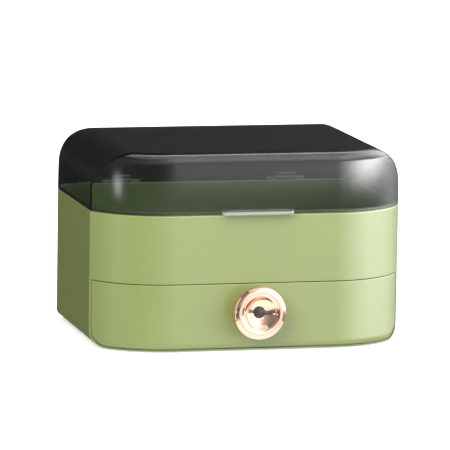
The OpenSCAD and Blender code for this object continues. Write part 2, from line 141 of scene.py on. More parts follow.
@dataclass(frozen=True)
class Finish:
    """One real material and how its surface was made.

    Colours are sRGB hex, lengths are millimetres and shares run from 0 to 1. A lip is a part of the
    piece in front of lip_y and under lip_z that takes a paler painted colour and the clearness
    lip_clear: a painted sheen in place of the light that the clear lip reflects and lets through.
    lip_ahead and lip_under are the distances from there at which it sets in and is full.
    """

    name: str
    slot: Slot
    colour: str
    roughness: float
    metallic: float = 0.0
    ior: float = 1.5
    transmission: float = 0.0
    specular: float = 0.5
    coat: float = 0.0
    coat_roughness: float = 0.1
    coat_ior: float = 1.5
    subsurface: float = 0.0
    tone_shift: str = ""
    tone_size: float = 60.0
    tone_share: float = 0.5
    rough_spread: float = 0.05
    rough_size: float = 15.0
    grain_size: float = 0.6
    grain_height: float = 0.004
    wave_size: float = 40.0
    wave_height: float = 0.0
    # Paler colour painted on the lip: a painted sheen, not a colour of the plastic.
    painted_sheen_colour: str = ""
    lip_y: float = 0.0
    lip_z: float = 0.0
    lip_clear: float = 1.0
    lip_ahead: tuple[float, float] = (0.2, 1.2)
    lip_under: tuple[float, float] = (0.4, 1.0)

    def material(self) -> Any:
        """Builds the node material, once for all the pieces that share it.

        Returns:
            The material.
        """
        known = bpy.data.materials.get(self.name)
        if known:
            return known
        made = bpy.data.materials.new(self.name)
        made.use_nodes = True
        tree = made.node_tree
        tree.nodes.clear()
        place = add(tree, "ShaderNodeTexCoord").outputs["Object"]
        shader = add(
            tree,
            "ShaderNodeBsdfPrincipled",
            {
                "Base Color": linear(self.colour),
                "Metallic": self.metallic,
                "Roughness": self.roughness,
                "IOR": self.ior,
                "Specular IOR Level": self.specular,
                "Transmission Weight": self.transmission,
                "Coat Weight": self.coat,
                "Coat Roughness": self.coat_roughness,
                "Coat IOR": self.coat_ior,
                "Subsurface Weight": self.subsurface,
            },
        )
        self.dress(tree, shader, place)
        add(tree, "ShaderNodeOutputMaterial", {"Surface": shader.outputs[0]})
        return made

    def dress(self, tree: Any, shader: Any, place: Any) -> None:
        """Adds the lip's painted sheen, tone, gloss and grain to the shader.

        Args:
            tree: The material's node tree.
            shader: Its Principled shader.
            place: Socket with the place on the piece.
        """
        # Painted sheen: the lip blends to a paler painted colour and lets less light through.
        if self.painted_sheen_colour:
            spot = add(tree, "ShaderNodeSeparateXYZ", {0: place})
            start, full = ((self.lip_y - step) * MM for step in self.lip_ahead)
            ahead = ramp(tree, spot.outputs["Y"], start, full, 0.0, 1.0)
            start, full = ((self.lip_z - step) * MM for step in self.lip_under)
            under = ramp(tree, spot.outputs["Z"], start, full, 0.0, 1.0)
            # Share of the lip's painted sheen.
            lip = calc(tree, "MULTIPLY", ahead, under)
            tree.links.new(blend(tree, lip, self.colour, self.painted_sheen_colour), shader.inputs["Base Color"])
            clear = ramp(tree, lip, 0.0, 1.0, self.transmission, self.lip_clear)
            tree.links.new(clear, shader.inputs["Transmission Weight"])
        if self.tone_shift:
            clouds = noise(tree, place, self.tone_size, 3.0)
            share = ramp(tree, clouds, NOISE_LOW, NOISE_HIGH, 0.0, self.tone_share)
            tree.links.new(blend(tree, share, self.colour, self.tone_shift), shader.inputs["Base Color"])
        smooth = max(self.roughness - self.rough_spread, 0.0)
        rough = self.roughness + self.rough_spread
        smears = noise(tree, place, self.rough_size, 4.0)
        gloss = ramp(tree, smears, NOISE_LOW, NOISE_HIGH, smooth, rough)
        tree.links.new(gloss, shader.inputs["Roughness"])
        bump = relief(tree, noise(tree, place, self.grain_size, 2.0), self.grain_height)
        if self.wave_height:
            swell = relief(tree, noise(tree, place, self.wave_size, 0.0), self.wave_height)
            tree.links.new(swell.outputs[0], bump.inputs["Normal"])
        tree.links.new(bump.outputs[0], shader.inputs["Normal"])


# Moulded ABS from a finely eroded tool: an even satin green with a soft, wide sheen.
SAGE_ABS = Finish(
    name="sage_green_moulded_abs",
    slot=Slot.BODY,
    colour="#889653",
    roughness=0.42,
    tone_shift="#83914F",
    tone_share=0.6,
    rough_spread=0.03,
    grain_size=0.7,
    grain_height=0.005,
    specular=1.0,
    coat=1.0,
    coat_ior=1.9,
    coat_roughness=0.3,
)
# Polished clear polystyrene with a grey smoke tint: mirror gloss, dark where it is seen edge on.
SMOKY_STYRENE = Finish(
    name="smoky_clear_polystyrene",
    slot=Slot.CLEAR,
    colour="#BBC3BF",
    roughness=0.03,
    transmission=1.0,
    ior=1.3,
    coat=0.8,
    coat_roughness=0.02,
    rough_spread=0.01,
    rough_size=30.0,
    grain_height=0.0,
    wave_height=0.006,
    # The finger tab ahead of the casing's front takes a paler painted colour: a painted sheen for the
    # light that it reflects and lets through.
    painted_sheen_colour="#D4DFCB",
    lip_y=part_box("casing")[0].y / MM,
    lip_z=115.7,
    lip_clear=0.5,
)
# Bright rose gold plating over a polished casting: a clean coloured mirror.
ROSE_GOLD = Finish(
    name="rose_gold_plated_metal",
    slot=Slot.PLATE,
    colour="#F0C8B0",
    roughness=0.07,
    metallic=1.0,
    rough_spread=0.02,
    grain_size=1.5,
    grain_height=0.0005,
)
# Moulded rubber: near black, dull, with a faint grain.
RUBBER = Finish(
    name="dark_moulded_rubber",
    slot=Slot.RUBBER,
    colour="#2B2725",
    roughness=0.6,
    tone_shift="#332E2B",
    tone_size=8.0,
    grain_size=0.4,
    grain_height=0.01,
)
# Rubber plug with a smooth skin: it takes a soft highlight.
SKINNED_RUBBER = replace(RUBBER, name="smooth_skinned_rubber", roughness=0.34, grain_height=0.003)
# Zinc plated steel: a grey metal with slightly broken gloss.
ZINC_STEEL = Finish(
    name="zinc_plated_steel",
    slot=Slot.STEEL,
    colour="#B9BCC0",
    roughness=0.32,
    metallic=1.0,
    tone_shift="#A9ADB3",
    tone_size=3.0,
    rough_spread=0.08,
    rough_size=2.0,
    grain_size=0.3,
    grain_height=0.002,
)
# Moulded nylon: off-white, waxy, a little light enters it.
NYLON = Finish(
    name="off_white_moulded_nylon",
    slot=Slot.NYLON,
    colour="#DEDED4",
    roughness=0.45,
    subsurface=0.1,
    tone_shift="#D6D6CA",
    tone_size=20.0,
    grain_height=0.004,
)


class Shell:
    """Collects grids of points and welds them into one mesh.

    A grid is an array (rows, columns, 3) in millimetres; neighbouring points make a face.
    """

    WELD = 1e-6
    SHARP = math.radians(38)
    NORMAL_WEIGHT = 50

    def __init__(self) -> None:
        """Starts an empty shell."""
        self.points: list[np.ndarray] = []
        self.faces: list[list[int]] = []
        self.count = 0

    def _take(self, points: np.ndarray) -> int:
        """Keeps points.

        Args:
            points: Array whose last axis holds x, y and z.

        Returns:
            Number of the first of them.
        """
        first = self.count
        self.points.append(points.reshape(-1, 3))
        self.count += self.points[-1].shape[0]
        return first

    def grid(
        self,
        points: np.ndarray,
        closed: bool = False,
        looped: bool = False,
        keep: np.ndarray | None = None,
    ) -> "Shell":
        """Adds a grid of faces.

        Args:
            points: Array (rows, columns, 3).
            closed: Whether the last column joins the first.
            looped: Whether the last row joins the first.
            keep: Mask of the faces to keep, (rows - 1, columns or columns - 1).

        Returns:
            This shell.
        """
        rows, columns = points.shape[:2]
        first = self._take(points)
        index = np.arange(rows * columns).reshape(rows, columns) + first
        if closed:
            index = np.concatenate([index, index[:, :1]], axis=1)
        if looped:
            index = np.concatenate([index, index[:1]], axis=0)
        quads = np.stack([index[:-1, :-1], index[:-1, 1:], index[1:, 1:], index[1:, :-1]], axis=-1)
        chosen = quads.reshape(-1, 4) if keep is None else quads[keep]
        self.faces.extend(chosen.tolist())
        return self

    def cap(self, loop: np.ndarray) -> "Shell":
        """Closes a flat loop with one face.

        Args:
            loop: Array (n, 3).

        Returns:
            This shell.
        """
        first = self._take(loop)
        self.faces.append(list(range(first, first + loop.shape[0])))
        return self

    def build(self, name: str, finish: Finish) -> Any:
        """Welds the grids, turns the faces outwards and makes the object.

        Args:
            name: Name of the piece.
            finish: Its material.

        Returns:
            The mesh object, at the origin.
        """
        points = np.concatenate(self.points) * MM
        mesh = bpy.data.meshes.new(name)
        mesh.from_pydata(points.tolist(), [], self.faces)
        work = bmesh.new()
        work.from_mesh(mesh)
        bmesh.ops.remove_doubles(work, verts=work.verts, dist=self.WELD)
        bmesh.ops.dissolve_degenerate(work, edges=work.edges, dist=self.WELD)
        bmesh.ops.recalc_face_normals(work, faces=work.faces)
        work.to_mesh(mesh)
        work.free()
        mesh.shade_smooth()
        mesh.set_sharp_from_angle(angle=self.SHARP)
        mesh.materials.append(finish.material())
        piece = bpy.data.objects.new(name, mesh)
        bpy.context.scene.collection.objects.link(piece)
        shade = piece.modifiers.new("even_normals", "WEIGHTED_NORMAL")
        shade.keep_sharp = True
        shade.weight = self.NORMAL_WEIGHT
        return piece


def arc(centre: tuple[float, float], r: float, start: float, end: float, count: int) -> np.ndarray:
    """Points on a circle: centre plus r times (sine, minus cosine) of the angle.

    The angle is 0 at the front (-y) and a quarter turn at the right (+x).

    Args:
        centre: Centre of the circle.
        r: Its radius.
        start: First angle, in radians.
        end: Last angle.
        count: Number of points, both ends included.

    Returns:
        Array (count, 2).
    """
    angle = np.linspace(start, end, count)
    return np.stack([centre[0] + r * np.sin(angle), centre[1] - r * np.cos(angle)], axis=1)


def line(start: tuple[float, float], end: tuple[float, float], count: int) -> np.ndarray:
    """Evenly spaced points from start to end, both included, as an array (count, 2)."""
    return np.linspace(start, end, count)


def ring_rows(loop: np.ndarray, centre: tuple[float, float], shares: np.ndarray) -> np.ndarray:
    """Rows that shrink a flat loop towards a centre: centre plus share times the offset.

    Args:
        loop: Array (n, 3) at one height.
        centre: Point that the loop shrinks to, in plan.
        shares: One share for each row.

    Returns:
        Array (rows, n, 3).
    """
    middle = np.array([*centre, loop[0, 2]])
    return middle + shares[:, None, None] * (loop - middle)[None]


def with_ends(rows: np.ndarray, depth: float, start: int, end: int) -> np.ndarray:
    """Closes a stack of outlines with rows that shrink to a point at both ends.

    Args:
        rows: Array (rows, n, 3).
        depth: y of both points; their x is 0.
        start: Number of rows from the first point to the first outline, both included.
        end: The same from the last outline to the last point.

    Returns:
        Array (more rows, n, 3).
    """
    centre = (0.0, depth)
    first = ring_rows(rows[0], centre, np.linspace(0, 1, start))[:-1]
    last = ring_rows(rows[-1], centre, np.linspace(1, 0, end))[1:]
    return np.concatenate([first, rows, last])


def spin(profile: np.ndarray, count: int) -> np.ndarray:
    """Turns a profile of (radius, height) about the height axis.

    Args:
        profile: Array (n, 2).
        count: Number of steps in the full turn.

    Returns:
        Array (n, count, 3): x = radius cos a, y = radius sin a, z = height.
    """
    angle = np.linspace(0, 2 * np.pi, count, endpoint=False)
    radius = profile[:, :1]
    height = np.broadcast_to(profile[:, 1:], (profile.shape[0], count))
    return np.stack([radius * np.cos(angle), radius * np.sin(angle), height], axis=-1)


@dataclass(frozen=True)
class Footprint:
    """Plan outline: flat front, two wide front arcs that end at a crease, rounded back."""

    half: float
    front: float
    back: float
    corner_x: float
    corner_r: float
    back_r: float
    crease_r: float = 1.4
    least_r: float = 0.3
    counts: tuple[int, ...] = (5, 36, 5, 7, 14, 14, 6)

    @property
    def corner_y(self) -> float:
        """Depth of the front arcs' centres."""
        return self.front + self.corner_r

    def front_at(self, x: np.ndarray, inset: float = 0.0) -> np.ndarray:
        """Depth of the front at x: flat in the middle, then on the corner circle.

        Args:
            x: Distances from the middle.
            inset: Distance inwards from the outline.

        Returns:
            y for each x.
        """
        over = np.maximum(np.abs(x) - self.corner_x, 0.0)
        return self.corner_y - np.sqrt((self.corner_r - inset) ** 2 - over**2)

    def half_loop(self, half: float, inset: float, split: float, nose: np.ndarray | None) -> np.ndarray:
        """Right half of the outline, from the middle of the front round to the middle of the back.

        Seven runs with fixed counts: front line, front arc to the split, front arc to the
        crease, crease fillet, side line, back corner, back line. The fillet's circle touches
        the arc from inside and the side line: its centre is corner_r - r from the arc's
        centre and r from the side.

        Args:
            half: Distance of the side from the middle.
            inset: Distance of the other edges inwards from the outline.
            split: x at which the front arc is split.
            nose: Points that stand for the front line, or None.

        Returns:
            Array (n, 2).
        """
        n = self.counts
        r = max(self.crease_r - inset, self.least_r)
        big = self.corner_r - inset
        turn = math.asin((half - r - self.corner_x) / (big - r))
        crease = (half - r, self.corner_y - (big - r) * math.cos(turn))
        cut = min(math.asin(min((split - self.corner_x) / big, 1.0)), turn - 0.01)
        back_r = self.back_r - inset
        back_c = (min(self.half - self.back_r, half), self.back - self.back_r)
        back_a = math.pi / 2 + math.acos(min((half - back_c[0]) / back_r, 1.0))
        centre = (self.corner_x, self.corner_y)
        back_start = back_c[1] - back_r * math.cos(back_a)
        first = line((0, self.front + inset), (self.corner_x, self.front + inset), n[0] + 1)[:-1]
        runs = [
            first if nose is None else nose,
            arc(centre, big, 0, cut, n[1] + 1)[:-1],
            arc(centre, big, cut, turn, n[2] + 1)[:-1],
            arc(crease, r, turn, math.pi / 2, n[3] + 1)[:-1],
            line((half, crease[1]), (half, back_start), n[4] + 1)[:-1],
            arc(back_c, back_r, back_a, math.pi, n[5] + 1)[:-1],
            line((back_c[0], self.back - inset), (0, self.back - inset), n[6] + 1),
        ]
        return np.concatenate(runs)

    def loop(
        self,
        z: float,
        inset: float = 0.0,
        half: float | None = None,
        split: float | None = None,
        nose: np.ndarray | None = None,
    ) -> np.ndarray:
        """Closed outline at one height, its left half the mirror of the right half.

        Args:
            z: Height.
            inset: Distance inwards.
            half: Distance of the sides from the middle, if they are closer than the inset.
            split: x at which the front arc is split.
            nose: Points that stand for the front line, or None.

        Returns:
            Array (n, 3).
        """
        side = self.half - inset if half is None else half
        right = self.half_loop(side, inset, side - 2.0 if split is None else split, nose)
        left = right[-2:0:-1] * np.array([-1.0, 1.0])
        both = np.concatenate([right, left])
        return np.column_stack([both, np.full(both.shape[0], z)])


def sag(r: float, depth: np.ndarray) -> np.ndarray:
    """Inset of a rounded edge of radius r at a depth below its end: r - sqrt(r^2 - (r - depth)^2)."""
    left = np.clip(r - depth, 0, r)
    return r - np.sqrt(r**2 - left**2)


@dataclass(frozen=True)
class Body:
    """Sizes that the pieces share.

    They are those of the part's source, apart from frame_edge, the strip beside the drawer
    front, which is thinner here, as the photo shows it.
    """

    half: float = 130.0
    front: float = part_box("casing")[0].y / MM
    depth: float = 180.0
    base: float = 1.0
    rim: float = 111.7
    wall: float = 2.6
    bottom_r: float = 12.0
    corner_r: float = 72.0
    crease_deg: float = 62.0
    back_r: float = 18.0
    seam: float = 56.0
    ledge_w: float = 12.0
    rebate_gap: float = 0.6
    front_in: float = 2.4
    front_t: float = 3.2
    frame_edge: float = 1.3
    frame_low: float = 1.0
    seat_gap: float = 0.3
    hinge_x: float = 72.0
    hinge_off: float = 4.8

    @property
    def back(self) -> float:
        """Depth of the back face."""
        return self.front + self.depth

    @property
    def footprint(self) -> Footprint:
        """Outline of the body in plan."""
        corner_x = self.half - self.corner_r * math.sin(math.radians(self.crease_deg))
        return Footprint(self.half, self.front, self.back, corner_x, self.corner_r, self.back_r)

    @property
    def rebate(self) -> float:
        """Depth of the rebate behind the ends of the drawer front.

        Returns:
            Its y.
        """
        plan = self.footprint
        ends = plan.front_at(np.array([self.half - self.front_in]), self.front_t)
        return float(ends[0]) + self.rebate_gap


BODY = Body()


@dataclass(frozen=True)
class Knuckle:
    """Hinge knuckle with its web, drawn in the side view round the pin's axis."""

    width: float
    r: float = 4.2
    bore: float = 1.55
    web_back: float = 6.1
    web_gap: float = 0.3
    web_rise: float = 6.0
    up: int = -1
    heel: tuple[float, float] | None = None
    edge: float = 0.35
    steps: int = 120

    def outline(self) -> np.ndarray:
        """Outline as a radius for each angle about the axis.

        The radius is the largest of the round knuckle, the web (limited by the wall and by
        its sloping edge) and the heel (limited by the two lines to its tip).

        Returns:
            Array (steps, 2) of (y, z).
        """
        angle = np.linspace(0, 2 * np.pi, self.steps, endpoint=False)
        y, z = np.cos(angle), self.up * np.sin(angle)
        radius = np.full(self.steps, self.r)
        to_wall = self.web_back / np.maximum(-y, 1e-6)
        rise = z + self.web_rise / self.web_back * y
        to_edge = np.where(rise > 1e-6, self.r / np.maximum(rise, 1e-6), np.inf)
        web = np.minimum(to_wall, to_edge)
        in_web = (y < 0) & (z * web >= self.web_gap)
        radius = np.where(in_web, np.maximum(radius, web), radius)
        if self.heel:
            tip = np.array(self.heel)
            way = np.stack([np.cos(angle), np.sin(angle)], axis=1)
            for corner in (np.array([0.0, -self.r]), np.array([self.r, 0.0])):
                edge = tip - corner
                across = way[:, 0] * edge[1] - way[:, 1] * edge[0]
                reach = (corner[0] * edge[1] - corner[1] * edge[0]) / np.where(
                    np.abs(across) < 1e-9, 1e-9, across
                )
                side = (way @ corner > 0) & (reach > 0) & (np.cos(angle) >= 0) & (np.sin(angle) <= 0)
                before = math.atan2(tip[1], tip[0]) % (2 * np.pi)
                own = angle < before if corner[1] < 0 else angle >= before
                radius = np.where(side & own, np.maximum(radius, reach), radius)
        return radius[:, None] * np.stack([np.cos(angle), np.sin(angle)], axis=1)

    def add_to(self, shell: Shell, x: float) -> None:
        """Adds the knuckle, centred on x, as a closed tube with rounded edges.

        Args:
            shell: Shell that takes it.
            x: Middle of the knuckle.
        """
        shape = self.outline()
        size = np.linalg.norm(shape, axis=1, keepdims=True)
        hole = shape / size * self.bore
        turn = np.linspace(0, np.pi / 2, 4)
        rounds = [(self.edge * (1 - math.sin(a)), self.edge * (1 - math.cos(a))) for a in turn]
        rows = [(-self.width / 2, hole)]
        rows += [(-self.width / 2 + step, shape * (1 - cut / size)) for cut, step in rounds]
        rows += [(self.width / 2 - step, shape * (1 - cut / size)) for cut, step in rounds[::-1]]
        rows.append((self.width / 2, hole))
        middle = (BODY.back + BODY.hinge_off, BODY.rim)
        grid = np.stack([np.column_stack([np.full(len(p), x + dx), p + middle]) for dx, p in rows])
        shell.grid(grid, closed=True, looped=True)


def rounded_bar(shell: Shell, low: tuple[float, ...], high: tuple[float, ...], r: float) -> None:
    """Adds a bar with rounded edges between two corners.

    Its cross-section in y and z is a rounded rectangle, carried along x. Near the ends the
    rectangle draws in by r times one minus the sine of the end's angle.

    Args:
        shell: Shell that takes it.
        low: Lowest corner.
        high: Highest corner.
        r: Radius of the edges.
    """
    lo, hi = np.array(low), np.array(high)
    turn = np.linspace(0, np.pi / 2, 4)
    ends = [(r * (1 - math.cos(a)), r * (1 - math.sin(a))) for a in turn]
    rows = [(lo[0] + dx, cut) for dx, cut in ends] + [(hi[0] - dx, cut) for dx, cut in ends[::-1]]
    angle = np.concatenate([turn + k * np.pi / 2 for k in range(4)])
    sign = np.repeat(np.array([[1, 1], [-1, 1], [-1, -1], [1, -1]]), 4, axis=0)
    grid = []
    for x, cut in rows:
        half = (hi[1:] - lo[1:]) / 2 - cut
        small = max(r - cut, 1e-4)
        corner = (hi[1:] + lo[1:]) / 2 + sign * (half - small)
        yz = corner + small * np.stack([np.cos(angle), np.sin(angle)], axis=1)
        grid.append(np.column_stack([np.full(16, x), yz]))
    points = np.stack(grid)
    shell.grid(points, closed=True).cap(points[0]).cap(points[-1])


def dress(piece: Any, body: str, finish: Finish, *nodes: str) -> Any:
    """Lets a piece ride on its body and stand for its solids.

    Args:
        piece: The new mesh object.
        body: Body that carries it.
        finish: Its material; not used.
        *nodes: Solids that it replaces.

    Returns:
        The piece.
    """
    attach(piece, body)
    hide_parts(*nodes)
    log.info("made %s with %d faces", piece.name, len(piece.data.polygons))
    return piece


@dataclass
class Casing:
    """Outer casing: one moulding with the drawer's opening, the tray's ledge and knuckles."""

    body: Body = BODY
    rim_r: float = 1.0
    rim_in_r: float = 0.4
    foot_edge_r: float = 1.0
    foot_slope: float = 1.5
    ledge_h: float = 2.6
    knuckle_w: float = 8.0
    knuckle_x: float = 12.3

    def opening_half(self, up: float) -> float:
        """Half width of the drawer front's seat at a height over the underside.

        The lower corner is a quarter of an ellipse between the side strip and the bottom
        strip. Under it the edge draws in by foot_slope times the missing height.

        Args:
            up: Height over the underside.

        Returns:
            Half of the width.
        """
        b = self.body
        core = b.half - b.bottom_r
        if up < b.frame_low:
            return core - self.foot_slope * (b.frame_low - up)
        share = max(b.bottom_r - up, 0.0) / (b.bottom_r - b.frame_low)
        return core + (b.bottom_r - b.frame_edge) * math.sqrt(max(1 - share**2, 0.0))

    def side_half(self, up: float) -> float:
        """Half width of the casing at a height over the underside, on the bottom radius."""
        r = self.body.bottom_r
        return self.body.half - r + math.sqrt(r**2 - max(r - up, 0.0) ** 2)

    def outer_rows(self) -> tuple[list[np.ndarray], int, int]:
        """Rows of the outer face from the underside up to the rim.

        Returns:
            The rows, and the numbers of the rows at the opening's lower and upper edge.
        """
        b, plan = self.body, self.body.footprint
        edge, top = self.foot_edge_r, b.seam - b.base
        low = edge * (1 - np.cos(np.linspace(0, np.pi / 2, 5)))
        low = low[low < b.frame_low - 0.02]
        turn = np.arccos(1 - b.frame_low / b.bottom_r)
        bend = b.bottom_r * (1 - np.cos(np.linspace(turn, np.pi / 2, 16)))
        ups = np.concatenate([low, bend, np.linspace(b.bottom_r + 2, top - 0.6, 8), [top]])
        rows = [
            plan.loop(b.base + u, float(sag(edge, u)), self.side_half(u), self.opening_half(u))
            for u in ups.tolist()
        ]
        lower, upper = len(low), len(rows) - 1
        above = np.linspace(b.seam + 1, b.rim - 2, 6)
        rows += [plan.loop(z, 0.0, None, b.half - b.frame_edge) for z in above]
        return rows, lower, upper

    def rim_rows(self) -> list[np.ndarray]:
        """Rows over the rounded rim, down the inside to the ledge and round the ledge.

        Returns:
            The rows.
        """
        b, plan = self.body, self.body.footprint
        turn = np.linspace(0, np.pi / 2, 6)
        spots = [(self.rim_r * (1 - math.cos(a)), b.rim - self.rim_r * (1 - math.sin(a))) for a in turn]
        inner = self.rim_in_r
        spots += [
            (b.wall - inner * (1 - math.sin(a)), b.rim - inner * (1 - math.cos(a))) for a in turn[::2]
        ]
        top, deep = b.seam + self.ledge_h, b.wall + b.ledge_w
        spots += [(b.wall, b.rim - 4), (b.wall, top), (deep, top), (deep, b.seam)]
        return [plan.loop(z, inset, None, b.half - b.frame_edge - inset) for inset, z in spots]

    def underside_loop(self, top_row: np.ndarray) -> np.ndarray:
        """Outer edge of the ledge's underside, run by run beside the plan outline.

        Args:
            top_row: Outer row at the opening's upper edge.

        Returns:
            Array (n, 3) with as many points as a plan outline.
        """
        b, n = self.body, self.body.footprint.counts
        plan = b.footprint
        edge, inner = b.half - b.frame_edge, b.half - b.wall
        start = float(plan.front_at(np.array([edge]))[0])
        r = b.back_r - b.wall
        back_c = (b.half - b.back_r, b.back - b.back_r)
        front = top_row[: n[0] + n[1], :2]
        runs = [
            front,
            line((edge, start), (edge, b.rebate), n[2] + 1)[:-1],
            line((edge, b.rebate), (inner, b.rebate), n[3] + 1)[:-1],
            line((inner, b.rebate), (inner, back_c[1]), n[4] + 1)[:-1],
            arc(back_c, r, math.pi / 2, math.pi, n[5] + 1)[:-1],
            line((back_c[0], b.back - b.wall), (0, b.back - b.wall), n[6] + 1),
        ]
        right = np.concatenate(runs)
        both = np.concatenate([right, right[-2:0:-1] * np.array([-1.0, 1.0])])
        return np.column_stack([both, np.full(both.shape[0], b.seam)])

    def cavity(self, shell: Shell, outer: np.ndarray, lower: int, upper: int, ledge: np.ndarray) -> None:
        """Adds the opening's sides and the drawer's space behind it.

        The opening's edge is a U-shaped line. It is carried back to the rebate, steps out to
        the inner wall, and the same U is carried on to the back, where the back corners'
        circles limit its width.

        Args:
            shell: Shell that takes the faces.
            outer: Rows of the outer face.
            lower: Row at the opening's lower edge.
            upper: Row at its upper edge.
            ledge: Outer edge of the ledge's underside.
        """
        b, n = self.body, self.body.footprint.counts
        split = n[0] + n[1]
        right = outer[upper : lower - 1 : -1, split]
        floor = np.concatenate([outer[lower, split - 1 :: -1], outer[lower, :-split:-1]])
        left = outer[lower : upper + 1, -split]
        edge = np.concatenate([right, floor, left])
        core_x, core_z = b.half - b.bottom_r, b.base + b.bottom_r
        core = np.stack([np.clip(edge[:, 0], -core_x, core_x), np.maximum(edge[:, 2], core_z)], 1)
        away = edge[:, [0, 2]] - core
        size = np.maximum(np.linalg.norm(away, axis=1, keepdims=True), 1e-9)
        way = away / size
        inner = core + way * np.where(size > 1e-6, b.bottom_r - b.frame_edge, 0.0)
        behind = np.minimum(edge[:, 1] + b.front_t + b.seat_gap, b.rebate - 0.05)
        seat = np.stack([edge[:, 0], behind, edge[:, 2]], -1)
        shares = np.linspace(0, 1, n[2] + 1)[:, None]
        depth = behind * (1 - shares) + b.rebate * shares
        wide = np.broadcast_to(inner[:, 0], depth.shape)
        high = np.broadcast_to(inner[:, 1], depth.shape)
        sides = np.stack([wide, depth, high], -1)
        shell.grid(np.concatenate([np.stack([edge, seat]), sides]))
        share = np.linspace(0, b.wall - b.frame_edge, n[3] + 1)[:, None, None]
        step = inner - way * share
        shell.grid(np.stack([step[..., 0], np.full(step.shape[:2], b.rebate), step[..., 1]], -1))
        wall = step[-1]
        count = split + n[2] + n[3]
        end = count + n[4] + n[5] + 1
        ys = ledge[count:end, 1]
        limits = ledge[count:end, 0]
        x = np.clip(wall[None, :, 0], -limits[:, None], limits[:, None])
        z = np.broadcast_to(wall[None, :, 1], x.shape)
        y = np.broadcast_to(ys[:, None], x.shape)
        rows = np.stack([x, y, z], -1)
        shell.grid(rows)
        middle = ledge.shape[0] // 2
        back = ledge[end : 2 * middle - end + 1]
        shell.cap(np.concatenate([rows[-1], back[::-1]]))

    def make(self) -> Any:
        """Builds the casing.

        Returns:
            Its piece.
        """
        b, plan = self.body, self.body.footprint
        shell = Shell()
        outer, lower, upper = self.outer_rows()
        centre = (0.0, (b.front + b.back) / 2)
        foot = ring_rows(outer[0], centre, np.linspace(0, 1, 5))[:-1]
        ledge = self.underside_loop(outer[upper])
        rows = np.concatenate([foot, np.stack(outer), np.stack(self.rim_rows()), ledge[None]])
        keep = np.ones((rows.shape[0] - 1, rows.shape[1]), bool)
        split = plan.counts[0] + plan.counts[1]
        first, last = len(foot) + lower, len(foot) + upper
        keep[first:last, :split] = False
        keep[first:last, -split:] = False
        shell.grid(rows, closed=True, keep=keep)
        self.cavity(shell, rows[len(foot) :], lower, upper, ledge)
        for side in (-1, 1):
            for step in (-1, 1):
                Knuckle(self.knuckle_w).add_to(shell, side * b.hinge_x + step * self.knuckle_x)
        return dress(shell.build("casing_moulding", SAGE_ABS), "body", SAGE_ABS, "casing")


@dataclass
class UpperTray:
    """Open tray whose rim stands up inside the lid as a dust lip."""

    body: Body = BODY
    inset: float = 2.9
    wall: float = 1.8
    bottom: float = 58.6
    floor: float = 60.8
    top: float = 114.1
    edge_r: float = 0.6
    floor_r: float = 4.0
    boss_r: float = 3.6
    boss_h: float = 7.0
    boss_flare: float = 1.0
    head_r: float = 2.8

    def make(self) -> Any:
        """Builds the tray and its screw bosses.

        Returns:
            Its piece.
        """
        b, plan = self.body, self.body.footprint
        shell = Shell()
        turn = np.linspace(0, np.pi / 2, 5)
        r, deep = self.edge_r, self.inset + self.wall
        spots = [(self.inset + r * (1 - math.sin(a)), self.bottom + r * (1 - math.cos(a))) for a in turn]
        spots += [(self.inset, z) for z in np.linspace(self.bottom + 3, self.top - 2, 5).tolist()]
        spots += [(self.inset + r * (1 - math.cos(a)), self.top - r * (1 - math.sin(a))) for a in turn]
        spots += [(deep - r * (1 - math.sin(a)), self.top - r * (1 - math.cos(a))) for a in turn]
        spots += [(deep, z) for z in np.linspace(self.top - 2, self.floor + self.floor_r + 2, 6).tolist()]
        big = self.floor_r
        spots += [
            (deep + big * (1 - math.cos(a)), self.floor + big * (1 - math.sin(a)))
            for a in np.linspace(0, np.pi / 2, 9)
        ]
        rows = np.stack([plan.loop(z, inset) for inset, z in spots])
        shell.grid(with_ends(rows, (b.front + b.back) / 2, 5, 7), closed=True)
        lo, hi = (np.array(corner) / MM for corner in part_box("tray_screws"))
        for x in (lo[0] + self.head_r, hi[0] - self.head_r):
            for y in (lo[1] + self.head_r, hi[1] - self.head_r):
                self.boss(shell, x, y)
        return dress(shell.build("tray_moulding", SAGE_ABS), "body", SAGE_ABS, "upper_tray")

    def boss(self, shell: Shell, x: float, y: float) -> None:
        """Adds one screw boss: a post with a rounded top and a flared foot.

        Args:
            shell: Shell that takes it.
            x: Its place from side to side.
            y: Its depth.
        """
        turn = np.linspace(0, np.pi / 2, 6)
        flare, edge = self.boss_flare, self.edge_r
        low, top = self.floor - edge, self.floor + self.boss_h
        profile = [(0.0, low), (self.boss_r + flare, low)]
        profile += [
            (self.boss_r + flare * (1 - math.sin(a)), self.floor + flare * (1 - math.cos(a))) for a in turn
        ]
        profile += [(self.boss_r - edge * (1 - math.cos(a)), top - edge * (1 - math.sin(a))) for a in turn]
        profile.append((0.0, top))
        shell.grid(spin(np.array(profile), 40) + np.array([x, y, 0.0]), closed=True)


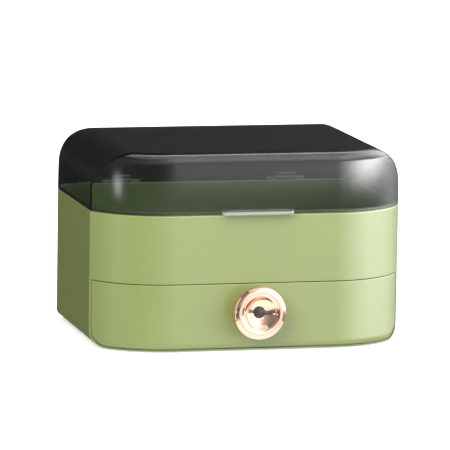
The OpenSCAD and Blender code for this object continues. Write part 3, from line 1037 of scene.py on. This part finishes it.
@dataclass
class Lid:
    """Smoky clear lid: a dome with wide top edges, a finger tab and two knuckles."""

    body: Body = BODY
    wall: float = 2.4
    bottom: float = 112.0
    top: float = 162.0
    dome_r: float = 33.5
    top_edge_r: float = 8.0
    lean: float = 2.2
    crease_r: float = 6.0
    foot_r: float = 0.5
    tab_half: float = 29.6
    tab_t: float = 4.0
    tab_reach: float = 7.0
    tab_edge: float = 1.1
    tab_counts: tuple[int, int, int, int] = (5, 8, 2, 7)
    heel: tuple[float, float] = (5.511, -3.182)
    ear_w: float = 16.0
    ear_rise: float = 5.0

    @property
    def plan(self) -> Footprint:
        """Plan outline with more points on the front line, for the tab."""
        base = self.body.footprint
        return replace(base, counts=(sum(self.tab_counts), 40, 4, 8, 16, 16, 8), crease_r=self.crease_r)

    def nose(self, inset: float, cut: float, out: bool) -> np.ndarray:
        """Front line with the tab's points: middle, round end, end side, rest of the line.

        Args:
            inset: Distance of the front line inwards.
            cut: Distance by which the tab is drawn in.
            out: Whether the tab's points stand out, or lie on the front line.

        Returns:
            Array (n, 2).
        """
        n = self.tab_counts
        y0 = self.body.front + inset
        r = self.tab_reach / 2
        mid = self.tab_half - r
        tip = self.body.front - self.tab_reach + r
        end = arc((mid, tip), r - cut, 0, math.pi / 2, n[1] + 1)
        shape = np.concatenate(
            [
                line((0, tip - r + cut), (mid, tip - r + cut), n[0] + 1)[:-1],
                end[:-1],
                line((mid + r - cut, tip), (mid + r - cut, y0), n[2] + 1)[:-1],
            ]
        )
        if not out:
            shape = np.column_stack([shape[:, 0], np.full(shape.shape[0], y0)])
        rest = line((mid + r - cut, y0), (self.plan.corner_x, y0), n[3] + 1)[:-1]
        return np.concatenate([shape, rest])

    def foot_rows(self) -> list[np.ndarray]:
        """Rows from the inner wall's foot round the tab and up the front.

        Returns:
            The rows.
        """
        plan, r, edge = self.plan, self.foot_r, self.tab_edge
        low, high = self.bottom, self.bottom + self.tab_t
        tab = sum(self.tab_counts[:3])
        turn = np.linspace(0, np.pi / 2, 5)
        rows = []
        for a in turn:
            inset = self.wall - r * (1 - math.cos(a))
            z = low + r * (1 - math.sin(a))
            rows.append(plan.loop(z, inset, nose=self.nose(inset, 0.0, False)))
        rows.append(plan.loop(low, r, nose=self.nose(r, edge, False)))

        def mixed(inset: float, cut: float, out: bool, z: float, tab_z: float) -> np.ndarray:
            """One outline whose tab points have a height of their own.

            Args:
                inset: Distance of the outline inwards.
                cut: Distance by which the tab is drawn in.
                out: Whether the tab's points stand out.
                z: Height of the outline.
                tab_z: Height of the tab's points.

            Returns:
                Array (n, 3).
            """
            row = plan.loop(z, inset, nose=self.nose(inset, cut, out))
            row[:tab, 2] = tab_z
            row[len(row) - tab + 1 :, 2] = tab_z
            return row

        for a in turn:
            s, c = math.sin(a), math.cos(a)
            rows.append(mixed(r * (1 - s), edge * (1 - s), True, low + r * (1 - c), low + edge * (1 - c)))
        for a in turn[::-1]:
            s, c = math.sin(a), math.cos(a)
            z = high - edge * (1 - c)
            rows.append(mixed(0.0, edge * (1 - s), True, z, z))
        rows.append(plan.loop(high, 0.0, nose=self.nose(0.0, edge, False)))
        return rows

    def dome_rows(self, inset: float, edge: float) -> list[np.ndarray]:
        """Rows of one face of the dome, from the front tab's top up to the flat top.

        The side follows a circle: half = half - dome_r + r cos a, z = top - dome_r + r sin a,
        with r = dome_r - inset. Near the top the front edge draws in on a radius, and
        the front leans in by lean times the squared share of the height.

        Args:
            inset: Distance inwards from the outer face.
            edge: Radius of the front top edge.

        Returns:
            The rows.
        """
        plan, r = self.plan, self.dome_r - inset
        side, spring = self.body.half - self.dome_r, self.top - self.dome_r
        high = self.top - inset
        start = math.asin((r - edge) / r)
        low = self.bottom + self.tab_t
        turn = np.concatenate([np.linspace(0, start, 22), np.linspace(start, np.pi / 2, 12)[1:]])
        spots = [(z, None) for z in np.linspace(low + 0.8, spring - 1.5, 5).tolist()]
        spots += [(spring + r * math.sin(a), side + r * math.cos(a)) for a in turn]
        rows = []
        for z, half in spots:
            share = (z - low) / (high - low)
            draw = inset + float(sag(edge, np.array(high - z))) + self.lean * share**2
            rows.append(plan.loop(z, draw, half, nose=self.nose(draw, 0.0, False)))
        return rows

    def make(self) -> Any:
        """Builds the lid.

        Returns:
            Its piece.
        """
        b = self.body
        shell = Shell()
        outer = self.dome_rows(0.0, self.top_edge_r)
        inner = self.dome_rows(self.wall, self.top_edge_r - self.wall)
        rows = np.stack(inner[::-1] + self.foot_rows() + outer)
        shell.grid(with_ends(rows, (b.front + b.back) / 2, 7, 7), closed=True)
        web_back = b.hinge_off + self.wall / 2
        knuckle = Knuckle(self.ear_w, web_back=web_back, web_rise=self.ear_rise, up=1, heel=self.heel)
        for side in (-1, 1):
            knuckle.add_to(shell, side * b.hinge_x)
        return dress(shell.build("lid_dome", SMOKY_STYRENE), "lid", SMOKY_STYRENE, "lid")


@dataclass
class Drawer:
    """Drawer: curved front and box with rails; the round pull is made by Pull."""

    body: Body = BODY
    seam_gap: float = 0.7
    gap: float = 0.06
    edge_r: float = 0.7
    bottom_edge: float = 5.0
    edge_share: float = 0.3
    bevel_share: float = 0.45
    back_edge_r: float = 0.3
    columns: int = 121
    column_power: float = 0.9
    box_half: float = 121.0
    box_bottom: float = 5.4
    box_top: float = 48.0
    box_wall: float = 2.0
    box_r: float = 8.0
    box_back_r: float = 6.0
    box_crease_r: float = 1.5
    box_rim_r: float = 0.8
    box_back: float = 88.7443
    rail_w: float = 3.5
    rail_h: float = 4.0
    rail_low: float = 35.3

    def front_panel(self, draw: float, depth: float, bevel: float = 0.0) -> np.ndarray:
        """Grid over the drawer front, drawn in at its edges and set back from the face.

        Each row spans from side to side at its height; its half width follows the rounded
        lower corners, and its depth follows the body's front. Columns stand at the
        column_power of their even places, a little closer near the ends.

        Args:
            draw: Share of the edge radius by which the outline is drawn in, 0 to 1.
            depth: Distance behind the face.
            bevel: Further distance at the bottom edge; the other edges take a part of it.

        Returns:
            Array (rows, columns, 3).
        """
        b, plan = self.body, self.body.footprint
        side, low = draw * self.edge_r, draw * self.bottom_edge
        tall = b.bottom_r - b.frame_low - self.gap
        wide_r = b.bottom_r - b.frame_edge - self.gap
        half = b.half - b.frame_edge - self.gap
        z0, z1 = b.base + b.frame_low + self.gap, b.seam - self.seam_gap
        bend = tall * (1 - np.cos(np.linspace(0, np.pi / 2, 16)))
        up = np.concatenate([bend, np.linspace(tall, z1 - z0, 14)[1:]])
        share = np.maximum(tall - up, 0) / tall
        wide = half - wide_r + wide_r * np.sqrt(1 - share**2) - side
        up = low + up * (1 - (low + side) / (z1 - z0))
        t = np.linspace(-1, 1, self.columns)[None]
        x = wide[:, None] * np.sign(t) * np.abs(t) ** self.column_power
        part = share + self.edge_share * (1 - share)
        y = plan.front_at(x, depth + bevel * part[:, None])
        z = np.broadcast_to((z0 + up)[:, None], x.shape)
        return np.stack([x, y, z], -1)

    @staticmethod
    def border(grid: np.ndarray) -> np.ndarray:
        """Closed loop round the edge of a grid."""
        return np.concatenate([grid[0, :-1], grid[:-1, -1], grid[-1, :0:-1], grid[:0:-1, 0]])

    def make_front(self) -> Any:
        """Builds the drawer front.

        Returns:
            Its piece.
        """
        shell = Shell()
        turn = np.linspace(0, np.pi / 2, 8)
        depth = self.bottom_edge * self.bevel_share
        face = self.front_panel(1.0, 0.0)
        shell.grid(face)
        rounds = [
            self.border(self.front_panel(1 - math.sin(a), 0.0, depth * (1 - math.cos(a)))) for a in turn
        ]
        thick = self.body.front_t
        rounds.append(self.border(self.front_panel(0.0, thick - self.back_edge_r)))
        back = self.front_panel(self.back_edge_r / self.edge_r, thick)
        rounds.append(self.border(back))
        shell.grid(np.stack(rounds), closed=True)
        shell.grid(back)
        return dress(shell.build("drawer_front_panel", SAGE_ABS), "drawer", SAGE_ABS, "drawer_front")

    def make_box(self) -> Any:
        """Builds the drawer box with its rails and stop lug.

        Returns:
            Its piece.
        """
        b = self.body
        base = b.footprint
        front_face = b.front + b.front_t
        plan = Footprint(
            self.box_half,
            front_face,
            self.box_back,
            base.corner_x,
            b.corner_r - b.front_t,
            self.box_back_r,
            crease_r=self.box_crease_r,
            counts=(5, 30, 3, 7, 12, 10, 6),
        )
        shell = Shell()

        def rows(inset: float, low: float, r: float, edge: float) -> list[np.ndarray]:
            """Rows of one face from the floor up the rounded lower edge.

            Args:
                inset: Distance inwards from the outer face.
                low: Height of the floor.
                r: Radius of the lower side edges.
                edge: Radius of the lower front and back edges.

            Returns:
                The rows.
            """
            ups = np.concatenate([edge * (1 - np.cos(np.linspace(0, np.pi / 2, 5))), [r * 0.3]])
            ups = np.concatenate([ups, r * (1 - np.cos(np.linspace(0.95, np.pi / 2, 8)))])
            halves = self.box_half - inset - r + np.sqrt(r**2 - np.maximum(r - ups, 0) ** 2)
            steps = zip(ups.tolist(), halves.tolist())
            return [plan.loop(low + u, inset + float(sag(edge, u)), h) for u, h in steps]

        thick, top, spring = self.box_wall, self.box_top, self.box_bottom + 12
        outer = rows(0.0, self.box_bottom, self.box_r, 1.0)
        outer += [plan.loop(z) for z in np.linspace(spring, top - 1.5, 4).tolist()]
        turn = np.linspace(0, np.pi / 2, 5)
        r = self.box_rim_r
        rim = [plan.loop(top - r * (1 - math.sin(a)), r * (1 - math.cos(a))) for a in turn]
        rim += [plan.loop(top - r * (1 - math.cos(a)), thick - r * (1 - math.sin(a))) for a in turn]
        inner = rows(thick, self.box_bottom + thick, self.box_r - thick, 2.0)
        inner += [plan.loop(z, thick) for z in np.linspace(spring, top - 2.5, 4).tolist()]
        grid = np.stack(outer + rim + inner[::-1])
        shell.grid(with_ends(grid, (front_face + self.box_back) / 2, 5, 7), closed=True)
        rail_front, rail_back = b.rebate + 3.0, self.box_back - self.box_back_r - 1.0
        rail_top = self.rail_low + self.rail_h
        for side in (-1, 1):
            xs = sorted([side * (self.box_half - 0.8), side * (self.box_half + self.rail_w)])
            low, high = (xs[0], rail_front, self.rail_low), (xs[1], rail_back, rail_top)
            rounded_bar(shell, low, high, 0.6)
        low, high = (-20, self.box_back - 3.0, 4.0), (20, self.box_back, self.box_bottom + 1.0)
        rounded_bar(shell, low, high, 0.4)
        return dress(shell.build("drawer_box_moulding", SAGE_ABS), "drawer", SAGE_ABS, "drawer_box")


@dataclass
class Pull:
    """Round pull: a flared plated knob with a dished face and a dark plug in its middle."""

    body: Body = BODY
    d: float = 44.2
    reach: float = 18.0
    height: float = 33.5
    neck_r: float = 8.0
    rim_r: float = 5.0
    waist_r: float = 9.5
    flare: float = 1.0
    dish_edge_r: float = 13.07
    dish_r: float = 18.0
    plug_d: float = 10.0
    plug_seat: float = 2.4
    plug_dome: float = 1.6
    bore_r: float = 2.0
    bore_h: float = 6.5
    samples: int = 160
    dish_samples: int = 90
    step: float = 0.1
    mean: int = 21
    keep_every: int = 3
    plug_clear: float = 0.03
    plug_lift: float = 0.02
    plug_edge: float = 0.5

    def place(self, grid: np.ndarray) -> np.ndarray:
        """Turns a grid made round z so that z points to the front, at the pull's place."""
        return np.stack(
            [grid[..., 0], self.body.front - grid[..., 2], self.height + grid[..., 1]], axis=-1
        )

    @property
    def dish_floor(self) -> float:
        """Height of the dish's lowest point over the drawer front.

        Returns:
            The height.
        """
        rim = self.d / 2 - self.rim_r
        edge = self.reach - self.rim_r + math.sqrt(self.rim_r**2 - (rim - self.dish_edge_r) ** 2)
        return edge + math.sqrt(self.dish_r**2 - self.dish_edge_r**2) - self.dish_r

    def dish(self, r: float) -> float:
        """Height of the dish at a radius: its floor plus the circle's rise."""
        return self.dish_floor + self.dish_r - math.sqrt(self.dish_r**2 - r**2)

    def knob_profile(self) -> np.ndarray:
        """Profile (radius, height) from the neck's foot to the plug's seat.

        The waist is a circle beside the neck, the rim is a circle, and the dish is a wide
        circle. The sampled line is smoothed with a short running mean, which rounds the
        corners where two circles meet.

        Returns:
            Array (n, 2).
        """
        rim_c = np.array([self.d / 2 - self.rim_r, self.reach - self.rim_r])
        waist_c = np.array([self.neck_r + self.waist_r, rim_c[1] - self.waist_r - self.flare])
        gap = rim_c - waist_c
        dist = float(np.hypot(*gap))
        along = (dist**2 + self.waist_r**2 - self.rim_r**2) / (2 * dist)
        off = math.sqrt(self.waist_r**2 - along**2)
        unit = gap / dist
        meet = waist_c + along * unit + off * np.array([unit[1], -unit[0]])
        start = math.atan2(-waist_c[1], -math.sqrt(self.waist_r**2 - waist_c[1] ** 2))
        end = math.atan2(*(meet - waist_c)[::-1])
        a = np.linspace(start % (2 * np.pi), end, self.samples)
        waist = waist_c + self.waist_r * np.stack([np.cos(a), np.sin(a)], axis=1)
        b0 = math.atan2(*(meet - rim_c)[::-1])
        top = np.array([self.dish_edge_r, self.dish(self.dish_edge_r)])
        b1 = math.atan2(*(top - rim_c)[::-1])
        c = np.linspace(b0, b1, self.samples)
        rim = rim_c + self.rim_r * np.stack([np.cos(c), np.sin(c)], axis=1)
        rs = np.linspace(self.dish_edge_r, self.plug_d / 2, self.dish_samples)
        dish = np.array([(r, self.dish(r)) for r in rs])
        dense = np.concatenate([waist, rim[1:], dish[1:]])
        length = np.concatenate([[0], np.cumsum(np.linalg.norm(np.diff(dense, axis=0), axis=1))])
        even = np.linspace(0, length[-1], int(length[-1] / self.step))
        line_r = np.interp(even, length, dense[:, 0])
        line_h = np.interp(even, length, dense[:, 1])
        mean = np.ones(self.mean) / self.mean
        ends = [np.pad(v, self.mean // 2, mode="edge") for v in (line_r, line_h)]
        smooth = np.stack([np.convolve(v, mean, "valid") for v in ends], axis=1)
        return smooth[:: self.keep_every]

    def make_knob(self) -> Any:
        """Builds the knob.

        Returns:
            Its piece.
        """
        profile = self.knob_profile()
        seat = self.dish_floor - self.plug_seat
        start = [(0.0, self.bore_h), (self.bore_r, self.bore_h), (self.bore_r, 0.0)]
        start.append((profile[0, 0] - 0.1, 0.0))
        end = [(self.plug_d / 2, profile[-1, 1] - 0.1), (self.plug_d / 2, seat), (0.0, seat)]
        whole = np.concatenate([np.array(start), profile, np.array(end)])
        shell = Shell()
        shell.grid(self.place(spin(whole, 128)), closed=True)
        return dress(shell.build("pull_knob", ROSE_GOLD), "drawer", ROSE_GOLD, "knob")

    def make_plug(self) -> Any:
        """Builds the domed plug.

        Returns:
            Its piece.
        """
        r, rise, edge = self.plug_d / 2 - self.plug_clear, self.plug_dome, self.plug_edge
        foot = self.dish(self.plug_d / 2)
        ball = (r**2 + rise**2) / (2 * rise)
        lean = math.asin((r - edge) / (ball - edge))
        cap = np.linspace(lean, 0, 24)
        mid = foot + rise - ball
        round_c = ((ball - edge) * math.sin(lean), mid + (ball - edge) * math.cos(lean))
        turn = np.linspace(np.pi / 2, lean, 8)
        low = self.dish_floor - self.plug_seat + self.plug_lift
        profile = [(0.0, low), (r, low)]
        profile += [(round_c[0] + edge * math.sin(a), round_c[1] + edge * math.cos(a)) for a in turn]
        profile += [(ball * math.sin(a), mid + ball * math.cos(a)) for a in cap[1:]]
        shell = Shell()
        shell.grid(self.place(spin(np.array(profile), 96)), closed=True)
        return dress(shell.build("pull_plug", SKINNED_RUBBER), "drawer", SKINNED_RUBBER, "knob_plug")


@dataclass
class Hardware:
    """Solids whose shape is right and that only take a better material."""

    finishes: dict[str, Finish] = field(
        default_factory=lambda: {
            "tray_screws": ZINC_STEEL,
            "front_screws": ZINC_STEEL,
            "knob_screw": ZINC_STEEL,
            "knob_washer": ZINC_STEEL,
            "hinge_pin_left": ZINC_STEEL,
            "hinge_pin_right": ZINC_STEEL,
            "runner_left": NYLON,
            "runner_right": NYLON,
            "bumper_left": RUBBER,
            "bumper_right": RUBBER,
            "foot_front_left": RUBBER,
            "foot_front_right": RUBBER,
            "foot_back_left": RUBBER,
            "foot_back_right": RUBBER,
        }
    )

    def make(self) -> None:
        """Gives each solid its material."""
        for name, finish in self.finishes.items():
            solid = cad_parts[name]
            solid.data.materials.clear()
            solid.data.materials.append(finish.material())
            log.info("dressed %s", name)


@dataclass(frozen=True)
class Glow:
    """Soft patch of light in the room.

    Its strength is peak times exp((cos a - 1) / spread squared - (dz / height) squared / 2),
    where a is the angle from the patch's middle and dz the difference in sine of the height
    over the horizon. Turn is 0 at the front and positive to the right; angles are in degrees.
    """

    turn: float
    rise: float
    spread: float
    peak: float
    height: float = 0.0

    def strength(self, tree: Any, way: Any, up: Any) -> Any:
        """Adds the nodes of this patch.

        Args:
            tree: The world's node tree.
            way: Socket with the direction.
            up: Socket with the direction's z.

        Returns:
            Socket with the patch's strength.
        """
        t, r = math.radians(self.turn), math.radians(self.rise)
        middle = (math.sin(t) * math.cos(r), -math.cos(t) * math.cos(r), math.sin(r))
        sharp = 1 / math.radians(self.spread) ** 2
        near = add(tree, "ShaderNodeVectorMath", {0: way, 1: middle}, operation="DOT_PRODUCT")
        power = calc(tree, "MULTIPLY_ADD", near.outputs["Value"], sharp, -sharp)
        if self.height:
            off = calc(tree, "MULTIPLY_ADD", up, 1 / self.height, -middle[2] / self.height)
            power = calc(tree, "MULTIPLY_ADD", calc(tree, "MULTIPLY", off, off), -0.5, power)
        return calc(tree, "MULTIPLY", calc(tree, "EXPONENT", power), self.peak)


@dataclass
class Studio:
    """Pale floor, soft lights and the camera at the photographed angle.

    Lamps and cards give a name, the place and the point that they face in metres, their
    width and height in metres and their power in watts. The cards light only the pieces
    that they are linked to: they are the pale room that the polished pull mirrors.
    """

    camera_at: tuple[float, float, float] = (-872.29, -3408.08, 632.3)
    yaw: float = 0.24922
    pitch: float = 0.15297
    roll: float = 0.01611
    focal_px: float = 4300.0
    sensor: float = 36.0
    floor_half: float = 12000.0
    floor_colour: str = "#F4F4F2"
    floor_glow: float = 0.35
    high_lamp: float = 2.0
    lamps: tuple[tuple[Any, ...], ...] = (
        ("overhead", (1.0, 0.8, 4.0), (0.0, 0.8, 0.0), (5.5, 5.5), 240.0),
        ("front_left", (-1.2, -1.3, 1.1), (0.0, 0.0, 0.08), (1.2, 1.2), 42.0),
    )
    cards: tuple[tuple[Any, ...], ...] = (
        ("card_low", (0.2, -0.9, -1.0), (0.2, -0.9, 0.0), (4.0, 4.0), 45.0),
        ("card_front", (1.6, -4.2, 0.3), (1.6, 0.0, 0.3), (4.6, 3.4), 44.0),
        ("card_left", (-3.0, 1.2, 0.5), (0.0, 1.2, 0.5), (4.0, 4.0), 40.0),
        ("card_top", (1.0, 0.4, 2.6), (1.0, 0.4, 0.0), (4.0, 4.0), 40.0),
    )
    glows: tuple[Glow, ...] = (
        Glow(63.0, -0.5, 21.0, 11.0, 0.047),
        Glow(100.0, 25.0, 18.0, 5.5),
        Glow(38.0, 34.0, 18.0, 2.4),
        Glow(-66.6, -4.0, 4.5, 3.5, 0.025),
    )

    def make_camera(self) -> None:
        """Places the camera by its yaw, pitch and roll."""
        y, p = self.yaw, self.pitch
        ahead = np.array([math.sin(y) * math.cos(p), math.cos(y) * math.cos(p), -math.sin(p)])
        right = np.array([math.cos(y), -math.sin(y), 0.0])
        up = np.cross(right, ahead)
        c, s = math.cos(self.roll), math.sin(self.roll)
        axes = np.stack([c * right + s * up, -s * right + c * up, -ahead], axis=1)
        whole = np.eye(4)
        whole[:3, :3] = axes
        whole[:3, 3] = np.array(self.camera_at) * MM
        data = bpy.data.cameras.new("photo_camera")
        data.sensor_width = self.sensor
        data.lens = self.focal_px / IMAGE_PX * self.sensor
        data.clip_start, data.clip_end = 0.05, 100.0
        made = bpy.data.objects.new("photo_camera", data)
        made.matrix_world = Matrix(whole.tolist())
        bpy.context.scene.collection.objects.link(made)
        bpy.context.scene.camera = made

    def make_floor(self) -> None:
        """Lays a plain pale floor that only the camera sees."""
        h = self.floor_half
        corners = np.array([[-h, -h, 0.0], [h, -h, 0.0], [h, h, 0.0], [-h, h, 0.0]]) * MM
        mesh = bpy.data.meshes.new("floor")
        mesh.from_pydata(corners.tolist(), [], [[0, 1, 2, 3]])
        paint = bpy.data.materials.new("matt_white_paint")
        paint.use_nodes = True
        shader = paint.node_tree.nodes["Principled BSDF"]
        shader.inputs["Base Color"].default_value = linear(self.floor_colour)
        shader.inputs["Roughness"].default_value = 0.9
        shader.inputs["Specular IOR Level"].default_value = 0.1
        shader.inputs["Emission Color"].default_value = (1, 1, 1, 1)
        shader.inputs["Emission Strength"].default_value = self.floor_glow
        mesh.materials.append(paint)
        floor = bpy.data.objects.new("floor", mesh)
        floor.visible_diffuse = floor.visible_glossy = False
        floor.visible_transmission = floor.visible_shadow = False
        bpy.context.scene.collection.objects.link(floor)

    def light(
        self,
        name: str,
        place: tuple[float, float, float],
        aim: tuple[float, float, float],
        size: tuple[float, float],
        power: float,
        only: tuple[Any, ...] = (),
    ) -> None:
        """Hangs one soft box that leaves no mirror image, or a card that only some pieces mirror.

        Clear pieces let only lamps above high_lamp be seen through them.

        Args:
            name: Name of the lamp.
            place: Its place, in metres.
            aim: Point that it faces, in metres.
            size: Width and height, in metres.
            power: Power in watts.
            only: Pieces that mirror it, or none for a lamp that lights all.
        """
        data = bpy.data.lights.new(name, "AREA")
        data.shape = "RECTANGLE"
        data.size, data.size_y = size
        data.energy = power
        lamp = bpy.data.objects.new(name, data)
        lamp.visible_glossy = bool(only)
        lamp.visible_transmission = not only and place[2] > self.high_lamp
        if only:
            group = bpy.data.collections.new(name)
            for piece in only:
                group.objects.link(piece)
            lamp.light_linking.receiver_collection = group
        back = Vector(place) - Vector(aim)
        turned = back.to_track_quat("Z", "Y").to_matrix().to_4x4()
        lamp.matrix_world = Matrix.Translation(place) @ turned
        bpy.context.scene.collection.objects.link(lamp)

    def make_world(self) -> None:
        """Fills the room with soft light: pale ahead, dim around, pale below, and the patches.

        Ahead is the room behind the camera. It darkens level with the horizon and towards
        the left. Around is a dim rest, and the light from below stands for the floor,
        which sends none itself.
        """
        world = bpy.data.worlds.new("studio_room")
        bpy.context.scene.world = world
        world.use_nodes = True
        tree = world.node_tree
        tree.nodes.clear()
        way = add(tree, "ShaderNodeTexCoord").outputs["Generated"]
        parts = add(tree, "ShaderNodeSeparateXYZ", {0: way})
        x, y, z = parts.outputs
        level = calc(tree, "ABSOLUTE", z)
        ahead = ramp(tree, y, 0.0, -1.0, 0.0, 0.55)
        ahead = calc(tree, "MULTIPLY", ahead, ramp(tree, z, -0.1, 0.1, 0.5, 1.0))
        ahead = calc(tree, "MULTIPLY", ahead, ramp(tree, level, 0.02, 0.12, 0.05, 1.0))
        ahead = calc(tree, "MULTIPLY", ahead, ramp(tree, x, -0.75, -0.25, 0.3, 1.0))
        around = ramp(tree, y, 0.0, 0.9, 0.08, 0.025)
        around = calc(tree, "ADD", around, ramp(tree, x, -0.9, -0.2, 0.16, 0.0))
        around = calc(tree, "MULTIPLY", around, ramp(tree, z, -0.05, 0.05, 0.6, 1.0))
        around = calc(tree, "ADD", around, ramp(tree, z, -0.25, -0.7, 0.0, 0.6))
        total = calc(tree, "ADD", ahead, around)
        for glow in self.glows:
            total = calc(tree, "ADD", total, glow.strength(tree, way, z))
        sky = add(tree, "ShaderNodeBackground", {"Color": (1, 1, 1, 1), "Strength": total})
        add(tree, "ShaderNodeOutputWorld", {"Surface": sky.outputs[0]})

    def make(self, pull: tuple[Any, ...]) -> None:
        """Sets the whole studio up.

        Args:
            pull: Polished pieces that mirror the white cards.
        """
        self.make_camera()
        self.make_floor()
        self.make_world()
        for lamp in self.lamps:
            self.light(*lamp)
        for card in self.cards:
            self.light(*card, only=pull)
        bpy.context.scene.view_settings.view_transform = "Standard"


def main() -> None:
    """Builds the organizer piece by piece, then the studio."""
    logging.basicConfig(level=logging.INFO, format="%(name)s: %(message)s")
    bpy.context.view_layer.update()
    Casing().make()
    UpperTray().make()
    Lid().make()
    drawer = Drawer()
    drawer.make_front()
    drawer.make_box()
    pull = Pull()
    polished = (pull.make_knob(), pull.make_plug())
    Hardware().make()
    Studio().make(polished)


if __name__ == "__main__":
    main()
